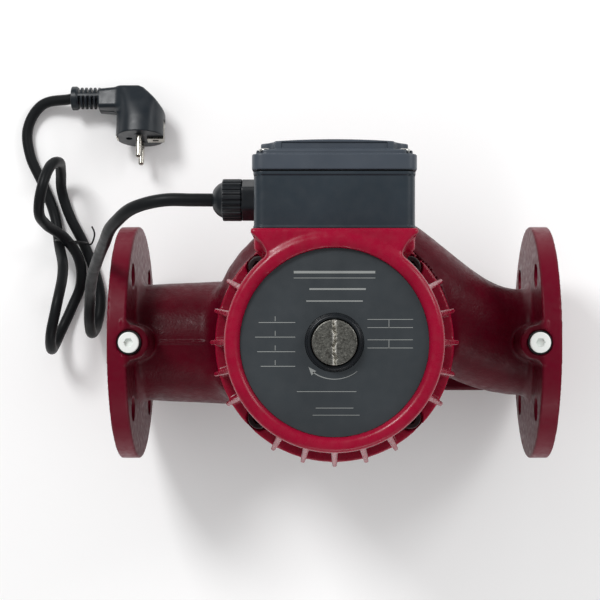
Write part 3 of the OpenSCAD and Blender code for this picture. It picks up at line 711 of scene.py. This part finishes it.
def terminal_lid(p):
    p = p - np.array((0, 0, BOX_Z))
    skirt = plate(p, (0, 2, 1), (53.7, 53.7), 7.5, 112, 122.3, 0.8)
    shelf = plate(p, (0, 2, 1), (51.2, 51.2), 8, 118, 125.4, 1.2)
    crown = 132.3 - 2.0 * (p[:, 0] / 48) ** 2
    dome = plate(p, (0, 2, 1), (48.3, 48.3), 6, 110, 150, 0.5)
    dome = smooth_max(dome, p[:, 1] - crown, 1.2)
    dome = smooth_max(dome, 9.6 - corners(p, 48.5), 1.0)
    body = smooth_min(smooth_min(skirt, shelf, 0.8), dome, 0.8)
    panel = np.maximum(np.abs(p[:, 0]) - 34.5, np.maximum(np.abs(p[:, 1] - 128.4) - 1.9, 47.2 - np.abs(p[:, 2])))
    body = smooth_max(body, -panel, 0.3)
    hollow = np.minimum(plate(p, (0, 2, 1), (49, 49), 5, 100, 120, 1), plate(p, (0, 2, 1), (44, 44), 8, 119, 129, 1))
    hollow = smooth_max(hollow, 7 - corners(p, 46), 1)
    body = smooth_max(body, -hollow, 0.5)
    holes = np.minimum(corners(p, 45.5) - 2.2, np.maximum(corners(p, 45.5) - 4.4, 121 - p[:, 1]))
    return smooth_max(body, -holes, 0.3)


skin("terminal_lid", terminal_lid, (-56, 110, BOX_Z - 56), (56, 134, BOX_Z + 56), 0.8, "lid_plastic", "pump",
     ["box_lid"])


def lid_screw(index, sx, sz):
    def field(p):
        q = p - np.array((sx * 45.5, 0, BOX_Z + sz * 45.5))
        head = cylinder(q, 1, (0, 0), 4.0, 119.2, 126.2, 1.2)
        shank = cylinder(q, 1, (0, 0), 1.9, 93, 120, 0.3)
        arm = np.minimum(np.maximum(np.abs(q[:, 0]) - 0.5, np.abs(q[:, 2]) - 2.6),
                         np.maximum(np.abs(q[:, 2]) - 0.5, np.abs(q[:, 0]) - 2.6))
        return smooth_max(np.minimum(head, shank), -np.maximum(arm, 124.6 - q[:, 1]), 0.25)
    low = (sx * 45.5 - 5, 92, BOX_Z + sz * 45.5 - 5)
    high = (sx * 45.5 + 5, 128, BOX_Z + sz * 45.5 + 5)
    return skin(f"lid_screw_{index}", field, low, high, 0.45, "stainless", "pump")


for index, (sx, sz) in enumerate(((-1, -1), (1, -1), (-1, 1), (1, 1))):
    screw = lid_screw(index, sx, sz)
    if index == 0:
        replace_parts(screw, "lid_screws")

# ---------------------------------------------------------------- gland

GLAND_Y = 97.0


def gland_local(p):
    """Gland coordinates: outwards from the shaft's axis plane, and the two across."""
    return -p[:, 0], p[:, 1] - GLAND_Y, p[:, 2] - BOX_Z


def gland_base(p):
    out, a, b = gland_local(p)
    radial = np.hypot(a, b)
    hexed = rounded_pair(hexagon(a, b, 25.3), np.abs(out - 57.75) - 5.25, 0.8)
    hexed = smooth_max(hexed, radial - 14.2, 0.8)
    barrel = rounded_pair(radial - 11, np.abs(out - 67) - 5, 0.3)
    inside = rounded_pair(radial - 10, np.abs(out - 47.5) - 6, 0.3)
    body = np.minimum(np.minimum(hexed, barrel), inside)
    return smooth_max(body, -np.minimum(radial - 5.5, np.maximum(radial - 8.5, 65 - out)), 0.3)


def gland_cap(p):
    out, a, b = gland_local(p)
    radial = np.hypot(a, b)
    turn = np.degrees(np.arctan2(b, a))
    flute = 0.45 * np.clip(np.cos(np.radians(turn * 24)) * 2.2, -1, 1)
    grip = rounded_pair(radial - 13.85 - flute, np.abs(out - 69.5) - 6.5, 0.7)
    nose = np.hypot(radial, (out - 73.5) * 1.18) - 12.4
    nose = np.maximum(nose, np.maximum(out - 83.4, 70 - out))
    body = smooth_min(grip, nose, 1.2)
    bore = np.minimum(radial - 5.5, np.maximum(radial - 11, out - 75))
    return smooth_max(body, -bore, 0.8)


low = (-86, GLAND_Y - 16, BOX_Z - 16)
skin("gland_body_hex", gland_base, low, (-40, GLAND_Y + 16, BOX_Z + 16), 0.6, "black_plastic", "pump", ["gland_body"])
skin("gland_cap", gland_cap, low, (-61, GLAND_Y + 16, BOX_Z + 16), 0.45, "black_plastic", "pump", ["gland_nut"])

# ---------------------------------------------------------------- plug

PLUG = np.array((-165.0, 173.3, 26.0))
TILT = math.radians(13)
PLUG_AXES = np.array(((1, 0, 0), (0, math.sin(TILT), math.cos(TILT)), (0, -math.cos(TILT), math.sin(TILT))))
PLUG_R = 21.0
CORD_Z = -36.4  # the cord's axis behind the plug's face


def plug_local(p):
    return (p - PLUG) @ PLUG_AXES.T


def plug_moulding(p):
    q = plug_local(p)
    x, y, z = q.T
    back = np.clip((-z - 14) / 32, 0, 1)
    body = np.hypot(x, y) - (PLUG_R - 0.35 * np.clip(-z / 20, 0, 1))
    body = smooth_max(body, np.abs(y) - (PLUG_R - 8.2 * back ** 1.3), 3)
    slope = (x - 20.6) * 0.713 + (-z - 23.6) * 0.701
    body = smooth_max(body, slope, 2.5)
    body = smooth_max(body, -z - 42.5, 1.6)
    body = smooth_max(body, z, 1.0)
    arm_h = 12 - 2.4 * np.clip((-x - 18) / 16, 0, 1)
    arm = smooth_max(np.abs(y) - arm_h, np.abs(z + 34) - 9.8 + 0.9 * np.clip((-x - 14) / 20, 0, 1), 4)
    arm = smooth_max(arm, np.maximum(x + 2, -x - 36), 1.5)
    body = smooth_min(body, arm, 4)
    # a raised pad along the back edge, above the arm
    pad = smooth_max(np.abs(y) - 9, np.maximum(np.abs(z + 42.0) - 1.7, np.maximum(x - 0.5, -x - 17)), 1.2)
    body = smooth_min(body, pad, 1.0)
    radial = np.hypot(y, z - CORD_Z)
    relief = rounded_pair(radial - 9.2, np.abs(x + 47) - 12.4, 0.9)
    relief = smooth_min(relief, rounded_pair(radial - 10.1, np.abs(x + 56.8) - 2.6, 1.0), 0.5)
    for k in range(5):
        groove = rounded_pair(4.9 - radial, np.abs(x + 37.6 + 3.7 * k) - 0.85, 0.2)
        spine = np.abs(z - CORD_Z) - 1.6
        relief = smooth_max(relief, -np.maximum(groove, -spine), 0.5)
    body = smooth_min(body, relief, 0.8)
    # seat of the pins, the socket for an earth pin and the recesses of the earth strips
    pins = np.hypot(x, np.abs(y) - 9.5)
    body = smooth_min(body, np.maximum(pins - 3.9, np.abs(z) - 0.7), 0.5)
    earth_hole = np.hypot((x + 9.5) * 1.0, y) - 2.6
    body = smooth_max(body, -np.maximum(earth_hole, -6 - z), 0.4)
    strips = np.maximum(np.abs(y) - 5.2, np.maximum(PLUG_R - 1.9 - np.abs(x), np.maximum(-15 - z, z - 4)))
    body = smooth_max(body, -strips, 0.4)
    groove_side = np.maximum(np.abs(y) - 0.5, np.maximum(PLUG_R - 0.9 - np.hypot(x, y), z + 2))
    return smooth_max(body, -groove_side, 0.3)


skin("plug_moulding", plug_moulding, (-228, 164, 0), (-141, 222, 52), 0.8, "plug_plastic", "pump", ["plug_body"])


def plug_pin(index, side):
    def field(p):
        x, y, z = plug_local(p).T
        radial = np.hypot(x, y - side * 9.5)
        pin = smooth_max(radial - 2.4, z - 20.4, 0.1)
        pin = smooth_max(pin, np.sqrt(radial ** 2 + np.maximum(z - 18.2, 0) ** 2) - 2.42, 0.1)
        return np.maximum(pin, -2 - z)
    centre = PLUG + PLUG_AXES[1] * side * 9.5 + PLUG_AXES[2] * 8.5
    return skin(f"plug_pin_{index}", field, centre - (5, 14, 8), centre + (5, 14, 8), 0.42, "nickel", "pump")


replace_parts(plug_pin(0, 1), "plug_pins")
plug_pin(1, -1)


def earth_strip(index, side):
    """A sprung earth strip: it lies in the plug's side and turns in over the face, further on one side."""
    lip_z, reach = (1.4, 6.0) if side > 0 else (0.2, 18.5)
    def field(p):
        x, y, z = plug_local(p).T
        u = side * x
        leg = np.maximum(np.abs(u - (PLUG_R - 1.4)) - 0.45, np.maximum(z - lip_z, -14 - z))
        lip = np.maximum(np.abs(z - lip_z / 2) - lip_z / 2 - 0.5, np.maximum(u - PLUG_R + 0.95, reach - u))
        sheet = np.maximum(smooth_min(leg, lip, 0.4), np.abs(y) - 4.4)
        hole = np.maximum(np.abs(u - 13) - 2.4, np.abs(y) - 1.4)
        return smooth_max(sheet, -np.maximum(hole, -3 - z), 0.2)
    centre = PLUG + PLUG_AXES[0] * side * 17 + PLUG_AXES[2] * -7
    return skin(f"earth_strip_{index}", field, centre - (13, 13, 10), centre + (13, 13, 10), 0.38, "nickel", "pump")


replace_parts(earth_strip(0, 1), "plug_earth_clips")
earth_strip(1, -1)

# ---------------------------------------------------------------- twist tie

tie_points = []
for k in range(25):
    a = math.radians(15 * k)
    tie_points.append((-226 + 13.6 * math.cos(a) * 1.0, 86.5 - 1.2 * math.cos(a), 12.8 + 11.2 * math.sin(a)))
tie_points += [(-209, 84, 16), (-206, 88, 19), (-205, 94, 21), (-207, 99, 22)]
smooth_curve("twist_tie", tie_points, 0.75, "tie_plastic", "pump", ["cord_tie"], sides=3)

# ---------------------------------------------------------------- label print: plain rules and the rotation arrow

LABEL_Z = AXIS_H + 255.0
PRINT_T = 0.12


def bars(name, rows, material):
    """Flat printed bars on the label: each row is x, y, length, height in millimetres."""
    points, faces = [], []
    for x, y, length, height in rows:
        n = len(points)
        for z in (LABEL_Z - 0.05, LABEL_Z + PRINT_T):
            points += [(x, y, z), (x + length, y, z), (x + length, y + height, z), (x, y + height, z)]
        faces += [(n + 3, n + 2, n + 1, n), (n + 4, n + 5, n + 6, n + 7)]
        faces += [(n + i, n + (i + 1) % 4, n + 4 + (i + 1) % 4, n + 4 + i) for i in range(4)]
    mesh = bpy.data.meshes.new(name)
    mesh.from_pydata([tuple(c * MM for c in q) for q in points], [], faces)
    mesh.update()
    return add(name, mesh, material, "pump")


rules = []
for k in range(4):
    y = 12.5 - 9.3 * k
    rules += [(-51 + 2.2 * abs(k - 1.2), y, 26 - 2.2 * abs(k - 1.2), 0.45), (-38, y + 1.0, 0.4, 3.2)]
for k in range(2):
    y = 14.5 - 13.0 * k
    rules += [(21, y, 29, 0.4), (21, y - 5.2, 29, 0.4), (34.5, y - 5.2, 0.4, 5.2)]
rules += [(-26, 44.0, 52, 1.6), (-26, 40.9, 52, 0.4), (-16, 33.5, 36, 1.1), (-18, 26, 36, 0.8)]
rules += [(-24, -31.5, 38, 0.4), (-12, -42, 24, 0.4), (-14, -46.5, 30, 0.35)]
bars("label_rules", rules, "print")


def rotation_arrow():
    """A thin arc under the vent screw with a solid head at its left end."""
    points, faces = [], []
    steps = 28
    for i in range(steps + 1):
        t = i / steps
        a = math.radians(234 + 74 * t)
        half = 0.35 * (1 - 0.6 * t)
        for r in (23.4 - half, 23.4 + half):
            for z in (LABEL_Z - 0.05, LABEL_Z + PRINT_T):
                points.append((r * math.cos(a), r * math.sin(a), z))
    for i in range(steps):
        a, b = 4 * i, 4 * i + 4
        faces += [(a + 1, a + 3, b + 3, b + 1), (a, b, b + 2, a + 2)]
        faces += [(a, a + 1, b + 1, b), (a + 2, b + 2, b + 3, a + 3)]
    faces += [(0, 2, 3, 1), (4 * steps, 4 * steps + 1, 4 * steps + 3, 4 * steps + 2)]
    n = len(points)
    tip = [(-16.6, -15.6), (-11.7, -18.2), (-14.6, -21.0)]
    points += [(x, y, LABEL_Z - 0.05) for x, y in tip] + [(x, y, LABEL_Z + PRINT_T) for x, y in tip]
    faces += [(n, n + 1, n + 2), (n + 5, n + 4, n + 3)]
    faces += [(n + i, n + 3 + i, n + 3 + (i + 1) % 3, n + (i + 1) % 3) for i in range(3)]
    mesh = bpy.data.meshes.new("rotation_arrow")
    mesh.from_pydata([tuple(c * MM for c in q) for q in points], [], faces)
    mesh.update()
    return add("rotation_arrow", mesh, "print", "pump")


rotation_arrow()

# ---------------------------------------------------------------- floor

floor_mesh = bpy.data.meshes.new("floor")
floor_mesh.from_pydata([(-4, -4, 0), (4, -4, 0), (4, 4, 0), (-4, 4, 0)], [], [(0, 1, 2, 3)])
floor = bpy.data.objects.new("floor", floor_mesh)
bpy.context.scene.collection.objects.link(floor)
floor_paint = Nodes("floor_paint", (0.97, 0.97, 0.97), 0.8)
floor_paint.bump(floor_paint.noise(3, 2), 0.02)
floor_mesh.materials.append(floor_paint.material)
